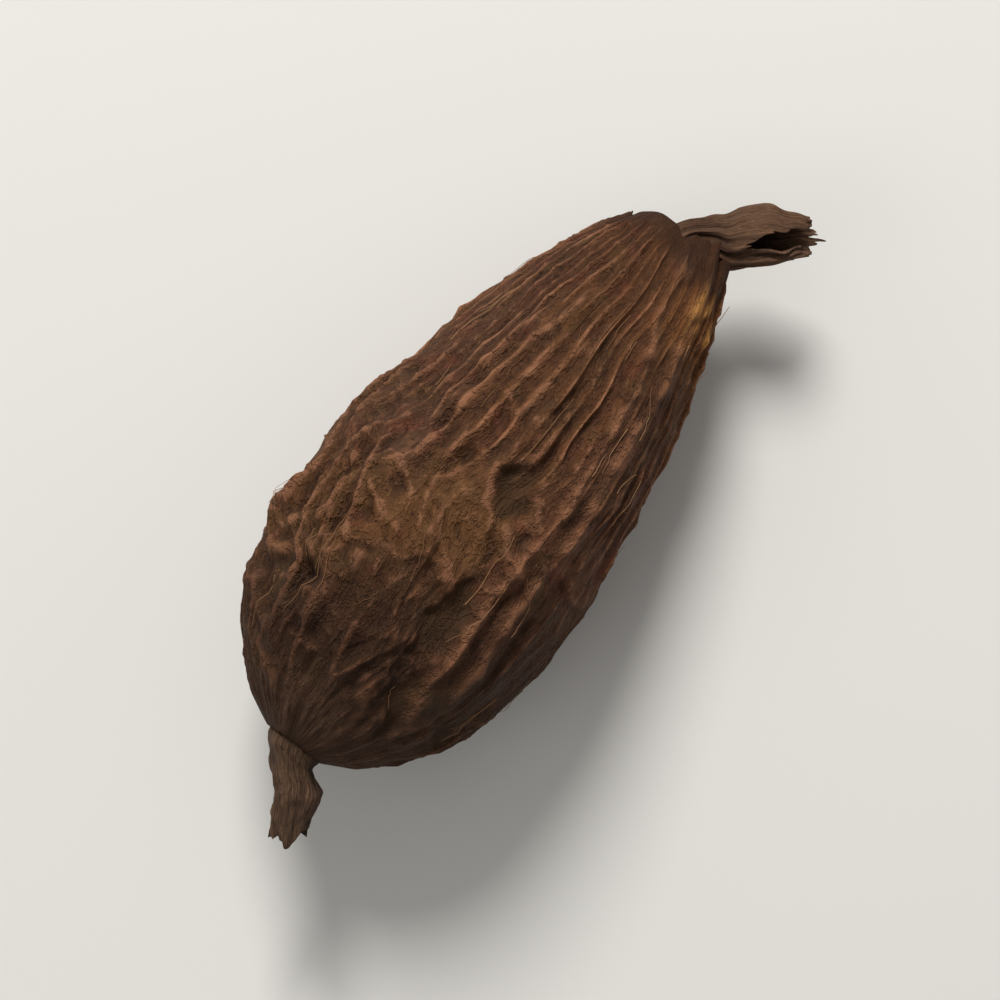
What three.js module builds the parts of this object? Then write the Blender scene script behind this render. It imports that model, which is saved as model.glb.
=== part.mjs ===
// A dried black cardamom pod lying on its side, in millimetres, +Z up.
// +X runs from the stalk end to the calyx end. The origin is the middle of the flat spot that it rests on.
// The husk is one shut, shrivelled capsule whose ribs, creases and hollows are raised from its surface by
// a formula. The stalk is the broken stub of the fruit's stem, the calyx what is left of its flower.
import * as THREE from "three";

// The husk's overall size, between the ribs, and how it lies.
const HUSK_LENGTH = 25;
const HUSK_WIDTH = 12.2;
const HUSK_HEIGHT = 11.2;
const LEAN = THREE.MathUtils.degToRad(4); // the narrow end dips when the pod lies on its side
const BALANCE = 0.43; // share of the length under which the weight lies
const PRESSED_FLAT = 0.5; // how deep the resting spot is flattened

// The husk's outline: each end closes by its own rounded power curve from the widest place.
const WIDEST = 0.37;
const BROAD_END = { reach: 0.014, power: 2.2, round: 0.62 };
const NARROW_END = { reach: 0.09, power: 1.45, round: 0.58 };
const CORNERS = 3; // the capsule has three chambers, so its section is faintly three-cornered
const CORNER_RISE = 0.035;
const END_RAGGED = 0.4; // how unevenly the ribs stop at the narrow end
const END_SLANT = 0.3; // how far that end is cut aslant

// Ribs along the husk.
const RIBS = 24;
const RIB_RISE = 0.5;
const RIB_WANDER = 0.3; // sideways drift, as a share of the space between ribs
const RIB_SHARPNESS = 0.15;
const RIB_SAMPLES = [0, 0.17, 0.5, 0.83]; // crest, foot, valley and foot, from one rib to the next

// Creases and hollows of the crumpled broad half: the length of each kind and how many go round.
const LENGTHWISE = { length: 6.5, around: 20, seed: 3 };
const SLANTING = { length: 3.6, around: 13, seed: 4, slant: 0.15 };
const FADING = { length: 4, around: 7, seed: 6 };
const CREASE_RISE = 0.22;
const HOLLOW_DEPTH = 0.35;

// The hollows and swellings that show most on the upper side, placed along the husk and across it.
const DENTS = [
  { along: 13.1, across: -0.85, length: 1.5, width: 1.0, depth: 0.45 },
  { along: 6.9, across: -1.3, length: 1.8, width: 0.65, depth: 0.45 },
  { along: 7.2, across: -2.1, length: 1.0, width: 0.6, depth: 0.3 },
  { along: 5.7, across: 1.5, length: 1.5, width: 1.0, depth: 0.3 },
  { along: 15.4, across: -0.9, length: 0.8, width: 0.7, depth: -0.15 },
];

// The folds that show most on the upper side: the places, along and across, that each runs through.
// The long ones run nearly straight from end to end, the short ones crook about the dents.
const LONG_FOLDS = [
  {
    rise: 0.6,
    reach: 0.4,
    through: [
      [3.4, -2.8], [7.8, -2.9], [11.8, -2.8], [15.5, -2.7], [18.2, -2.3], [21.1, -1.3], [24.6, -0.8],
    ],
  },
  {
    rise: 0.55,
    reach: 0.4,
    through: [
      [3.6, -3.7], [7.8, -3.8], [10.9, -3.7], [14.7, -3.4], [18.2, -3.1], [21.4, -2.4], [24.7, -1.7],
    ],
  },
];
const SHORT_FOLDS = [
  {
    rise: 0.26,
    reach: 0.4,
    through: [[10.7, -1.5], [11.6, -0.9], [12.3, -0.2], [13.1, 0.15], [14.2, -0.5], [15.2, -1.5]],
  },
  { rise: 0.2, reach: 0.4, through: [[13.1, 0.15], [12.6, 0.9], [11.7, 1.7], [11.2, 2.7]] },
  { rise: 0.22, reach: 0.35, through: [[1.8, -1.8], [4.2, -0.9], [5.0, -0.6], [8.0, -0.65]] },
  { rise: 0.2, reach: 0.35, through: [[1.1, -0.6], [3.3, -0.3], [4.9, 0.5], [5.4, 1.6]] },
  { rise: 0.26, reach: 0.35, through: [[7.8, 3.4], [11.4, 3.75], [13.8, 3.1], [18.2, 2.3], [22.4, 1.25]] },
];

// The edge of the plateau that the middle forms over the sunken broad end: across and along.
const PLATEAU_RISE = 0.24;
const PLATEAU_EDGE = [[-4.5, 11.5], [-2.4, 10.6], [-2, 9.3], [-1.1, 8.6], [0.5, 8.2], [1.4, 7.8], [5.5, 6]];

// Sockets at the two ends, in which the stalk and the calyx stand.
const STALK_SOCKET = { radius: 1.1, depth: 0.7 };
const CALYX_SOCKET = { radius: 1.75, depth: 1.1 };
const SOCKET_GAP = 0.12;

// Stalk stub.
const STALK_LENGTH = 3.3; // outside the husk
const STALK_SWING = THREE.MathUtils.degToRad(30); // it turns aside from the pod's axis
const STALK_RADIUS = 0.92;

// Calyx: a papery tube that shrivels to a neck, bends aside and widens to a torn mouth, split on top.
// Places along the tube are counted from its foot.
const CALYX_WALL = 0.6;
const CALYX_NECK = 0.55; // radius where it leaves the husk
const CALYX_FOOT = { radius: 1.5, reach: 0.8 };
const CALYX_FLARE = { widening: 0.58, from: 1.8, to: 3.6 };
const CALYX_CLOSING = { narrowing: 0.45, from: 4.4, to: 6.4 }; // the mouth draws in again at its edge
const CALYX_BEND = { turn: THREE.MathUtils.degToRad(56), from: 0.8, to: 2 };
const CALYX_LIFT = { rise: 0.5, from: 2.5, to: 6 };
const CALYX_CURL = { rise: 0.5, from: 4.8, to: 6.4 }; // the lower lip curls up
const CALYX_PLEATS = { count: 5, rise: 0.07 };
const CALYX_REACH = 6; // to the torn edge
const CALYX_RAGGED = 0.25;
const CALYX_FLOOR = 2.5; // where the hollow of the mouth ends
const CALYX_LOBES = [
  { angle: 112, halfWidth: 0.45, rise: -2.6 }, // the split
  { angle: 15, halfWidth: 0.6, rise: 0.4 },
  { angle: -85, halfWidth: 0.6, rise: 0.5 },
  { angle: 190, halfWidth: 0.4, rise: -0.2 },
];

const TURN = 2 * Math.PI;
const { smoothstep, smootherstep, lerp, clamp, degToRad } = THREE.MathUtils;

// A repeatable scatter between 0 and 1 for each whole number and use.
function scatter(index, use) {
  const wave = Math.sin(index * 12.9898 + use * 78.233) * 43758.5453;
  return wave - Math.floor(wave);
}

// A slow, repeatable wave between -1 and 1, different for each seed.
function drift(seed, place) {
  const long = Math.sin(1.9 * place + 2.1 * seed);
  const middle = 0.6 * Math.sin(3.7 * place + 5.3 * seed + 1.3);
  const short = 0.35 * Math.sin(7.3 * place + 9.7 * seed + 4.1);
  return (long + middle + short) / 1.95;
}

// Slopes scattered over staggered rows that close on themselves all round, between about -0.7 and 0.7.
function billow(column, row, rows, seed) {
  const j = Math.floor(row);
  const v = row - j;
  let total = 0;
  for (const stepJ of [0, 1]) {
    const line = (j + stepJ + rows) % rows;
    const shifted = column + scatter(line, seed + 50);
    const i = Math.floor(shifted);
    const u = shifted - i;
    for (const stepI of [0, 1]) {
      const turn = TURN * scatter(57 * (i + stepI) + line, seed);
      const slope = Math.cos(turn) * (u - stepI) + Math.sin(turn) * (v - stepJ);
      const nearU = smootherstep(1 - Math.abs(u - stepI), 0, 1);
      const nearV = smootherstep(1 - Math.abs(v - stepJ), 0, 1);
      total += slope * nearU * nearV;
    }
  }
  return total;
}

// The husk's half-width at a share of its length, as a share of the widest.
function swell(share) {
  const end = share < WIDEST ? BROAD_END : NARROW_END;
  const span = (share < WIDEST ? WIDEST : 1 - WIDEST) + end.reach;
  return (1 - (Math.abs(share - WIDEST) / span) ** end.power) ** end.round;
}

// Where the husk is crumpled, from 0 to 1.
function crumpled(share) {
  return smoothstep(share, 0.02, 0.16) * (1 - smoothstep(share, 0.5, 0.74));
}

// The angle of a rib's crest. Neighbours drift together, so that ribs never cross.
function ribAngle(rib, share) {
  const apart = 0.5 * (scatter(rib % RIBS, 1) - 0.5);
  const together = RIB_WANDER * drift(0.4 * Math.sin((TURN * rib) / RIBS), 5 * share);
  const alone = 0.35 * RIB_WANDER * drift(rib % RIBS, 6 * share) * (0.4 + crumpled(share));
  return (TURN * (rib + apart + together + alone)) / RIBS;
}

// A rib's rise over the husk: it fades out at both ends and here and there on the way.
function ribRise(rib, share) {
  const strength = 0.4 + 0.6 * scatter(rib % RIBS, 2);
  const broken = 0.62 + 0.38 * drift((rib % RIBS) + 7, 9 * share);
  const ends = smoothstep(share, 0, 0.1) * (1 - smoothstep(share, 0.94, 1));
  const lower = 1 - 0.3 * crumpled(share) - 0.4 * smoothstep(share, 0.45, 0.7);
  return RIB_RISE * strength * broken * ends * lower;
}

// Creases where the scattered slopes change sign, and hollows between them.
function netRise(share, around) {
  const along = share * HUSK_LENGTH;
  const field = ({ length, around: count, seed, slant = 0 }) => {
    return billow(along / length, count * around + slant * along, count, seed);
  };
  const lengthwise = Math.abs(field(LENGTHWISE));
  const slanting = Math.abs(field(SLANTING));
  const crease = Math.max(Math.exp(-lengthwise / 0.09), 0.6 * Math.exp(-slanting / 0.07));
  const hollow = Math.min(lengthwise, slanting + 0.1) / 0.3;
  const fading = smoothstep(field(FADING), -0.25, 0.2);
  return crumpled(share) * (CREASE_RISE * fading * crease - HOLLOW_DEPTH * hollow);
}

// The dents of the upper side, flat-bottomed with soft edges.
function dentRise(along, across) {
  let rise = 0;
  for (const dent of DENTS) {
    const away = ((along - dent.along) / dent.length) ** 2 + ((across - dent.across) / dent.width) ** 2;
    rise -= dent.depth * Math.exp(-(away ** 1.8));
  }
  return rise;
}

// How far a place lies from a line of places.
function lineDistance(through, along, across) {
  let nearest = Infinity;
  for (let i = 1; i < through.length; i++) {
    const [x0, y0] = through[i - 1];
    const [x1, y1] = through[i];
    const run = (along - x0) * (x1 - x0) + (across - y0) * (y1 - y0);
    const held = clamp(run / ((x1 - x0) ** 2 + (y1 - y0) ** 2), 0, 1);
    nearest = Math.min(nearest, Math.hypot(along - lerp(x0, x1, held), across - lerp(y0, y1, held)));
  }
  return nearest;
}

// Folds of the upper side: sharp on their lines, hollow-sided beside them, dying away towards their ends.
function foldRise(folds, along, across) {
  let rise = 0;
  folds.forEach(({ rise: height, reach, through }, index) => {
    const nearest = lineDistance(through, along, across);
    const ends = [through[0], through.at(-1)].map(([x, y]) => Math.hypot(along - x, across - y));
    const uneven = 0.8 + 0.2 * drift(index, 0.7 * along + 0.5 * across);
    const fade = smoothstep(Math.min(...ends), 0, 1.4) * uneven;
    rise = Math.max(rise, height * fade * Math.exp(-((nearest / reach) ** 0.85)));
  });
  return rise;
}

// The plateau's step up from the sunken broad end, sloping off again towards the narrow end.
function plateauRise(along, across) {
  let edge = PLATEAU_EDGE.at(-1)[1];
  for (let i = PLATEAU_EDGE.length - 1; i > 0; i--) {
    const [y0, x0] = PLATEAU_EDGE[i - 1];
    const [y1, x1] = PLATEAU_EDGE[i];
    if (across < y1) edge = lerp(x0, x1, clamp((across - y0) / (y1 - y0), 0, 1));
  }
  const past = along - edge;
  return PLATEAU_RISE * smoothstep(past, -0.25, 0.25) * (1 - smoothstep(past, 1, 6));
}

// A point of the husk's skin at a share of its length and a place counted in ribs, in the pod's own axes.
function huskPoint(share, place) {
  const rib = Math.floor(place);
  const between = place - rib;
  const angle = lerp(ribAngle(rib, share), ribAngle(rib + 1, share), between);
  const crest = (distance) => Math.exp(-((distance / RIB_SHARPNESS) ** 1.25));
  const ribs = ribRise(rib, share) * crest(between) + ribRise(rib + 1, share) * crest(1 - between);
  const along = share * HUSK_LENGTH;
  const across = (HUSK_WIDTH / 2) * swell(share) * Math.cos(angle);
  const warpedAlong = along + 0.3 * drift(1, 0.9 * across + 0.35 * along);
  const warpedAcross = across + 0.22 * drift(2, 1.1 * along + 0.3 * across);
  const upper = smoothstep(Math.sin(angle), 0.1, 0.4);
  const straight = across + 0.12 * drift(4, 0.5 * along);
  const longAway = Math.min(...LONG_FOLDS.map(({ through }) => lineDistance(through, along, straight)));
  const flank = 1 - 0.5 * smoothstep(-across, 4.2, 5.2);
  const calm = flank * (1 - 0.75 * upper * Math.exp(-((longAway / 0.75) ** 2)));
  const longFolds = foldRise(LONG_FOLDS, along, straight);
  const folds = Math.max(longFolds, foldRise(SHORT_FOLDS, warpedAlong, warpedAcross));
  const marks = dentRise(warpedAlong, warpedAcross) + folds + plateauRise(warpedAlong, warpedAcross);
  const skin = calm * (ribs + netRise(share, place / RIBS)) + upper * marks;
  const lumps = 1 + CORNER_RISE * Math.cos(CORNERS * angle) + 0.015 * drift(3, 6 * share + Math.sin(angle));
  const y = ((HUSK_WIDTH / 2) * swell(share) * lumps + skin) * Math.cos(angle);
  const z = ((HUSK_HEIGHT / 2) * swell(share) * lumps + skin) * Math.sin(angle);
  const end = smoothstep(share, 0.88, 1);
  const ragged = END_RAGGED * drift(5, 2.5 * Math.cos(angle) + 4 * Math.sin(angle));
  return new THREE.Vector3(along + end * (ragged - END_SLANT * Math.cos(angle)), y, z);
}

// Moves the vertices of a lathe, whose profile starts and ends on its axis, to the points of a surface.
function shapedLathe(rings, sides, pointAt) {
  const profile = Array.from({ length: rings }, (_, ring) => {
    return new THREE.Vector2(ring % (rings - 1) === 0 ? 0 : 1, ring);
  });
  const geometry = new THREE.LatheGeometry(profile, sides);
  const position = geometry.getAttribute("position");
  for (let side = 0; side <= sides; side++) {
    for (let ring = 0; ring < rings; ring++) {
      const point = pointAt(ring, side % sides);
      position.setXYZ(side * rings + ring, point.x, point.y, point.z);
    }
  }
  geometry.computeVertexNormals();
  return geometry;
}

// Rings stand closer together near the ends, where the outline turns fastest.
function ringShare(even) {
  const gathered = (1 - Math.cos(Math.PI * even)) / 2;
  return lerp(even, gathered, 0.5);
}

// The husk: a socket at each end and the ribbed skin between, pressed flat where it rests.
const BODY_RINGS = 50;
function huskGeometry(resting) {
  const steps = [
    { along: STALK_SOCKET.depth, radius: 0 },
    { along: STALK_SOCKET.depth, radius: STALK_SOCKET.radius },
    ...Array.from({ length: BODY_RINGS + 1 }, (_, i) => ({ share: ringShare(i / BODY_RINGS) })),
    { along: HUSK_LENGTH - CALYX_SOCKET.depth, radius: CALYX_SOCKET.radius },
    { along: HUSK_LENGTH - CALYX_SOCKET.depth, radius: 0 },
  ];
  const sides = RIBS * RIB_SAMPLES.length;
  return shapedLathe(steps.length, sides, (ring, side) => {
    const { share, along, radius } = steps[ring];
    const rib = Math.floor(side / RIB_SAMPLES.length);
    const place = rib + RIB_SAMPLES[side % RIB_SAMPLES.length];
    const angle = (TURN * place) / RIBS;
    const inSocket = new THREE.Vector3(along, radius * Math.cos(angle), radius * Math.sin(angle));
    const point = share === undefined ? inSocket : huskPoint(share, place);
    point.applyMatrix4(resting);
    point.z = Math.max(point.z, 0);
    return point;
  });
}

// The stalk: a bent, lumpy stub, narrowing towards its ragged broken tip.
const STALK_RINGS = 12;
const STALK_SIDES = 16;
function stalkGeometry() {
  return shapedLathe(STALK_RINGS + 2, STALK_SIDES, (ring, side) => {
    const share = clamp(ring - 1, 0, STALK_RINGS - 1) / (STALK_RINGS - 1);
    const closed = ring === 0 || ring > STALK_RINGS ? 0 : 1;
    const angle = -(TURN * side) / STALK_SIDES;
    const free = smoothstep(share, 0.15, 0.4);
    const lumps = free * (0.1 * drift(2 * Math.cos(angle), 5 * share) + 0.06 * Math.cos(5 * angle));
    const taper = 0.2 * smoothstep(share, 0.55, 1);
    const radius = STALK_RADIUS * (1 + lumps - taper) * closed;
    const splinter = 0.35 * Math.cos(angle - 0.8) + 0.2 * drift(9, 2.2 * Math.cos(angle));
    const ragged = splinter * smoothstep(share, 0.75, 1) * closed;
    const out = (STALK_LENGTH + STALK_SOCKET.depth - SOCKET_GAP) * share + ragged;
    const turned = STALK_SWING * smoothstep(share, 0.05, 0.6);
    const across = radius * Math.cos(angle);
    const x = STALK_SOCKET.depth - SOCKET_GAP - out * Math.cos(turned) - across * Math.sin(turned);
    const y = -out * Math.sin(turned) + across * Math.cos(turned);
    return new THREE.Vector3(x, y, radius * Math.sin(angle));
  });
}

// How far the calyx reaches at an angle round it, with its torn lobes and its split.
function calyxEdge(angle) {
  let edge = CALYX_REACH + CALYX_RAGGED * drift(8, 3 * Math.cos(angle) + 2 * Math.sin(angle));
  for (const lobe of CALYX_LOBES) {
    const from = angle - degToRad(lobe.angle);
    const away = Math.atan2(Math.sin(from), Math.cos(from));
    edge += lobe.rise * Math.exp(-(Math.abs(away / lobe.halfWidth) ** 2.4));
  }
  return edge;
}

// A point of the calyx at a place along its bent tube, given across and above the tube's middle line.
function alongCalyx(run, across, above) {
  const { turn, from, to } = CALYX_BEND;
  const turned = turn * clamp((run - from) / (to - from), 0, 1);
  const radius = (to - from) / turn;
  const before = Math.min(run, from);
  const after = Math.max(run - to, 0);
  const foot = HUSK_LENGTH - CALYX_SOCKET.depth + SOCKET_GAP;
  const x = foot + before + (radius + across) * Math.sin(turned) + after * Math.cos(turned);
  const y = (radius + across) * Math.cos(turned) - radius - after * Math.sin(turned);
  return new THREE.Vector3(x, y, above);
}

// The calyx: along the outside of the tube, over its torn edge and back down to the floor of the mouth.
const CALYX_SIDES = 48;
const TUBE_SHARES = [0, 0.05, 0.1, 0.15, 0.2, 0.26, 0.33, 0.41, 0.5, 0.6, 0.7, 0.8, 0.9, 1];
const MOUTH_SHARES = [1, 0.75, 0.5, 0.25, 0];
const NARROWEST = 0.05; // half-width of the hollow where the walls nearly meet
function calyxGeometry() {
  const wall = [
    { share: 0, closed: true },
    ...TUBE_SHARES.map((share) => ({ share })),
    ...MOUTH_SHARES.map((share) => ({ share, inside: true })),
    { share: 0, inside: true, closed: true },
  ];
  const rising = ({ rise, from, to }, run) => rise * smoothstep(run, from, to);
  return shapedLathe(wall.length, CALYX_SIDES, (ring, side) => {
    const { share, inside, closed } = wall[ring];
    const angle = (TURN * side) / CALYX_SIDES;
    const run = lerp(inside ? CALYX_FLOOR : 0, calyxEdge(angle), share);
    const spread = (CALYX_FOOT.radius - CALYX_NECK) * Math.exp(-((run / CALYX_FOOT.reach) ** 2));
    const widened = CALYX_FLARE.widening * smoothstep(run, CALYX_FLARE.from, CALYX_FLARE.to);
    const flare = widened - CALYX_CLOSING.narrowing * smoothstep(run, CALYX_CLOSING.from, CALYX_CLOSING.to);
    const free = smoothstep(run, 0.3, 1.2);
    const pleats = CALYX_PLEATS.rise * free * Math.cos(CALYX_PLEATS.count * angle + 0.5 * run);
    const inset = pleats - (inside ? CALYX_WALL : 0);
    const halfWidth = closed ? 0 : Math.max(CALYX_NECK + spread + flare + inset, NARROWEST);
    const halfHeight = closed ? 0 : Math.max(0.9 * CALYX_NECK + spread + 0.5 * flare + inset, NARROWEST);
    const swayed = 0.15 * drift(6, 0.8 * run) * smoothstep(run, 1.5, 3);
    const lifted = rising(CALYX_LIFT, run) + rising(CALYX_CURL, run) * Math.max(-Math.sin(angle), 0);
    return alongCalyx(run, halfWidth * Math.cos(angle) + swayed, halfHeight * Math.sin(angle) + lifted);
  });
}

// Finishes: dry golden-brown husk, greyer woody stalk and straw-brown calyx.
const huskFinish = new THREE.MeshStandardMaterial({ color: 0x54392a, roughness: 0.8, metalness: 0 });
const stalkFinish = new THREE.MeshStandardMaterial({ color: 0x5e4632, roughness: 0.85, metalness: 0 });
const calyxFinish = new THREE.MeshStandardMaterial({ color: 0x6a4a30, roughness: 0.8, metalness: 0 });

function namedMesh(name, geometry, finish) {
  const mesh = new THREE.Mesh(geometry, finish);
  mesh.name = name;
  return mesh;
}

// The pod's own axes, leaned and lifted so that the husk's underside presses into the surface below.
const leaned = new THREE.Group();
const lift = HUSK_HEIGHT / 2 - PRESSED_FLAT;
const balance = BALANCE * HUSK_LENGTH;
leaned.rotation.y = LEAN;
leaned.position.set(-balance * Math.cos(LEAN), 0, lift + balance * Math.sin(LEAN));
leaned.updateMatrix();
leaned.add(namedMesh("stalk", stalkGeometry(), stalkFinish));
leaned.add(namedMesh("calyx", calyxGeometry(), calyxFinish));

const pod = new THREE.Group();
pod.add(namedMesh("husk", huskGeometry(leaned.matrix), huskFinish));
pod.add(leaned);

export default pod;
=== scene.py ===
import math

import bpy
import numpy as np
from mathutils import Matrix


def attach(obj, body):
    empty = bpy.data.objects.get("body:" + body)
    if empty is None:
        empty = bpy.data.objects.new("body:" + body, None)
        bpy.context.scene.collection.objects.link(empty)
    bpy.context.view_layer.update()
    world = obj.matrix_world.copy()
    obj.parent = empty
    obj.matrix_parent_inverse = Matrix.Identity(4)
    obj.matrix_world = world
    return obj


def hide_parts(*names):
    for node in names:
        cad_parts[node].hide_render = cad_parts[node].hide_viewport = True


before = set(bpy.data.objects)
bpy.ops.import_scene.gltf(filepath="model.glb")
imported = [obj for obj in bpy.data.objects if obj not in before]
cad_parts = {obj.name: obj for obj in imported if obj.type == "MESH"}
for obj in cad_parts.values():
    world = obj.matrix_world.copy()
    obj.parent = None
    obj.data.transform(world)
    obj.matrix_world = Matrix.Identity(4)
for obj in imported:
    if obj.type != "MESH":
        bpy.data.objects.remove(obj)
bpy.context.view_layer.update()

# The husk is the fruit's own leathery wall, dried brown and brittle round the seeds.
# Drying drew its long fibres up into ribs, and the skin between them sank into creases and hollows.
# It is one closed piece, pressed flat where it lies, with a socket at each end for what grows there.
MM = 0.001
TURN = 2 * math.pi
HUSK_LENGTH = 25.0
HUSK_WIDTH = 12.2
HUSK_HEIGHT = 11.2
LEAN = math.radians(4)
BALANCE = 0.43
PRESSED_FLAT = 0.5
WIDEST = 0.37
# How blunt, how curved and how full the outline is towards the broad end and the narrow end.
BROAD_END = (0.014, 2.2, 0.62)
NARROW_END = (0.09, 1.45, 0.58)
CORNERS = 3
CORNER_RISE = 0.035
LUMP_RISE = 0.015
RIBS = 24
RIB_RISE = 0.5
RIB_WANDER = 0.3
RIB_SHARP = 0.12
FINE_RIBS = 44
FINE_RIB_RISE = 0.2
FINE_RIB_SHARP = 0.12
CREASE_RISE = 0.22
HOLLOW_DEPTH = 0.35
LONG_WRINKLE = 0.09
SHORT_WRINKLE = 0.04
HAIR_WRINKLE = 0.04
SLANT_WRINKLE = 0.1
SKIN_SINK = 0.06
SWELLING_RISE = 0.07
KNOB_RISE = 0.32
END_RAGGED = 0.4
END_SLANT = 0.3
# Hollows and swellings of the upper side: place along and across, length, width and depth.
DENTS = (
    (12.4, -1.1, 1.5, 0.9, 0.48),
    (7.0, -2.15, 1.35, 0.8, 0.55),
    (6.2, -1.45, 0.9, 0.25, 0.2),
    (5.6, 1.2, 1.1, 0.8, 0.32),
    (2.4, 0.8, 0.9, 0.6, 0.24),
    (3.4, -2.4, 1.5, 0.42, 0.3),
    (10.4, -2.35, 0.65, 0.26, 0.26),
    (5.3, 4.5, 0.5, 0.35, 0.35),
    (14.3, -0.7, 0.8, 0.6, -0.2),
    (3.4, -1.35, 1.1, 0.45, -0.22),
    (3.4, -3.3, 1.1, 0.6, -0.15),
)
DENT_FULL = 0.4
# Folds of the upper side: rise, reach, and the places along and across that each runs through.
# The long ones run nearly from end to end. The short ones crook about the dents or run to the stalk.
# The straight ones are the thin pale lines of the narrow half, the last two beside its golden patch.
LONG_FOLDS = (
    (
        0.45,
        0.42,
        ((3.4, -2.8), (7.8, -2.9), (11.8, -2.8), (15.5, -2.7), (18.2, -2.3), (21.1, -1.3), (24.6, -0.8)),
    ),
    (
        0.4,
        0.42,
        ((3.6, -3.7), (7.8, -3.8), (10.9, -3.7), (14.7, -3.4), (18.2, -3.1), (21.4, -2.4), (24.7, -1.7)),
    ),
)
SHORT_FOLDS = (
    (
        0.34,
        0.38,
        ((9.9, -1.75), (10.6, -1.1), (11.3, -0.35), (12.3, -0.05), (13.5, -0.65), (14.4, -1.75)),
    ),
    (0.2, 0.4, ((12.3, -0.1), (11.8, 0.65), (10.9, 1.45), (10.4, 2.45))),
    (0.3, 0.4, ((-0.8, -0.4), (0.8, -0.95), (1.6, -1.25), (2.6, -1.3), (5.0, -1.2))),
    (0.3, 0.35, ((3.9, -0.3), (5.6, -0.35), (7.4, -0.45), (8.8, -0.6))),
    (0.32, 0.4, ((-0.8, 0.0), (1.0, 1.0), (1.6, 2.0), (2.3, 3.0), (4.4, 4.3))),
)
STRAIGHT_FOLDS = (
    (0.34, 0.27, ((9.4, 4.0), (11.2, 2.75), (13.2, 2.45), (16.2, 2.1), (18.2, 1.7), (21.4, 1.2))),
    (0.32, 0.24, ((11.6, 3.35), (13.6, 3.05), (16.2, 2.75), (20.0, 2.1))),
    (0.24, 0.2, ((13.4, 1.35), (15.8, 1.15), (19.4, 0.9))),
    (0.28, 0.2, ((13.6, 0.45), (15.8, 0.3), (19.6, 0.1))),
    (0.24, 0.28, ((19.6, -3.1), (21.8, -2.65), (24.6, -2.35))),
    (0.24, 0.28, ((20.6, -3.6), (22.6, -3.2), (24.6, -2.9))),
)
FOLD_FADE = 1.4
# How far the pale line on a fold's crest reaches: on the long and short folds, and on the straight.
FOLD_LINE = 0.5
THIN_LINE = 0.38
# The middle forms a plateau over the sunken broad end. Its edge: a place along for each place across.
PLATEAU_ACROSS = (-4.75, -2.65, -1.9, -0.9, 0.3, 1.4, 3.2, 5.25)
PLATEAU_ALONG = (10.7, 9.8, 8.7, 8.0, 7.8, 7.7, 6.6, 5.4)
PLATEAU_RISE = 0.16
# Radius and depth of the sockets.
STALK_SOCKET = (1.1, 0.7)
CALYX_SOCKET = (1.75, 1.1)
SOCKET_RINGS = 6


def ease(low, high, value):
    x = np.clip((value - low) / (high - low), 0, 1)
    return x * x * (3 - 2 * x)


def scatter(index, use):
    wave = np.sin(index * 12.9898 + use * 78.233) * 43758.5453
    return wave - np.floor(wave)


def drift(seed, place):
    long = np.sin(1.9 * place + 2.1 * seed)
    middle = 0.6 * np.sin(3.7 * place + 5.3 * seed + 1.3)
    short = 0.35 * np.sin(7.3 * place + 9.7 * seed + 4.1)
    return (long + middle + short) / 1.95


def noise(x, y, z, seed):
    """Smooth noise between -1 and 1 with bumps one unit wide."""
    corner = [np.floor(v) for v in (x, y, z)]
    part = [v - c for v, c in zip((x, y, z), corner)]
    eased = [p * p * (3 - 2 * p) for p in part]
    total = 0
    for i in (0, 1):
        for j in (0, 1):
            for k in (0, 1):
                weight = 1
                for share_of, step in zip(eased, (i, j, k)):
                    weight = weight * (share_of if step else 1 - share_of)
                key = (corner[0] + i) * 17.13 + (corner[1] + j) * 5.71 + (corner[2] + k) * 43.37
                total = total + weight * scatter(key, seed)
    return 2 * total - 1


def swell(share):
    broad_blunt, broad_curve, broad_full = BROAD_END
    narrow_blunt, narrow_curve, narrow_full = NARROW_END
    broad = 1 - (np.clip(WIDEST - share, 0, None) / (WIDEST + broad_blunt)) ** broad_curve
    narrow = 1 - (np.clip(share - WIDEST, 0, None) / (1 - WIDEST + narrow_blunt)) ** narrow_curve
    return np.where(share < WIDEST, broad**broad_full, narrow**narrow_full)


def crumpled(share):
    return ease(0.02, 0.16, share) * (1 - ease(0.5, 0.74, share))


def rib_angle(rib, share):
    apart = 0.5 * (scatter(rib % RIBS, 1) - 0.5)
    together = RIB_WANDER * drift(0.4 * np.sin(TURN * rib / RIBS), 5 * share)
    alone = 0.35 * RIB_WANDER * drift(rib % RIBS, 6 * share) * (0.4 + crumpled(share))
    return TURN * (rib + apart + together + alone) / RIBS


def rib_rise(rib, share):
    strength = 0.4 + 0.6 * scatter(rib % RIBS, 2)
    broken = 0.62 + 0.38 * drift(rib % RIBS + 7, 9 * share)
    ends = ease(0, 0.1, share) * (0.45 + 0.55 * ease(0.05, 0.35, share))
    ends = ends * (1 - ease(0.94, 1, share))
    lower = 1 - 0.3 * crumpled(share) - 0.55 * ease(0.45, 0.7, share)
    return RIB_RISE * strength * broken * ends * lower


def soft(x):
    return x * x * x * (x * (6 * x - 15) + 10)


def billow(column, row, rows, seed):
    """Slopes scattered over staggered rows that close on themselves all round, about -0.7 to 0.7."""
    j = np.floor(row)
    v = row - j
    total = 0
    for step_j in (0, 1):
        line = (j + step_j) % rows
        shifted = column + scatter(line, seed + 50)
        i = np.floor(shifted)
        u = shifted - i
        for step_i in (0, 1):
            turn = TURN * scatter(57 * (i + step_i) + line, seed)
            slope = np.cos(turn) * (u - step_i) + np.sin(turn) * (v - step_j)
            total = total + slope * soft(1 - np.abs(u - step_i)) * soft(1 - np.abs(v - step_j))
    return total


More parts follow.
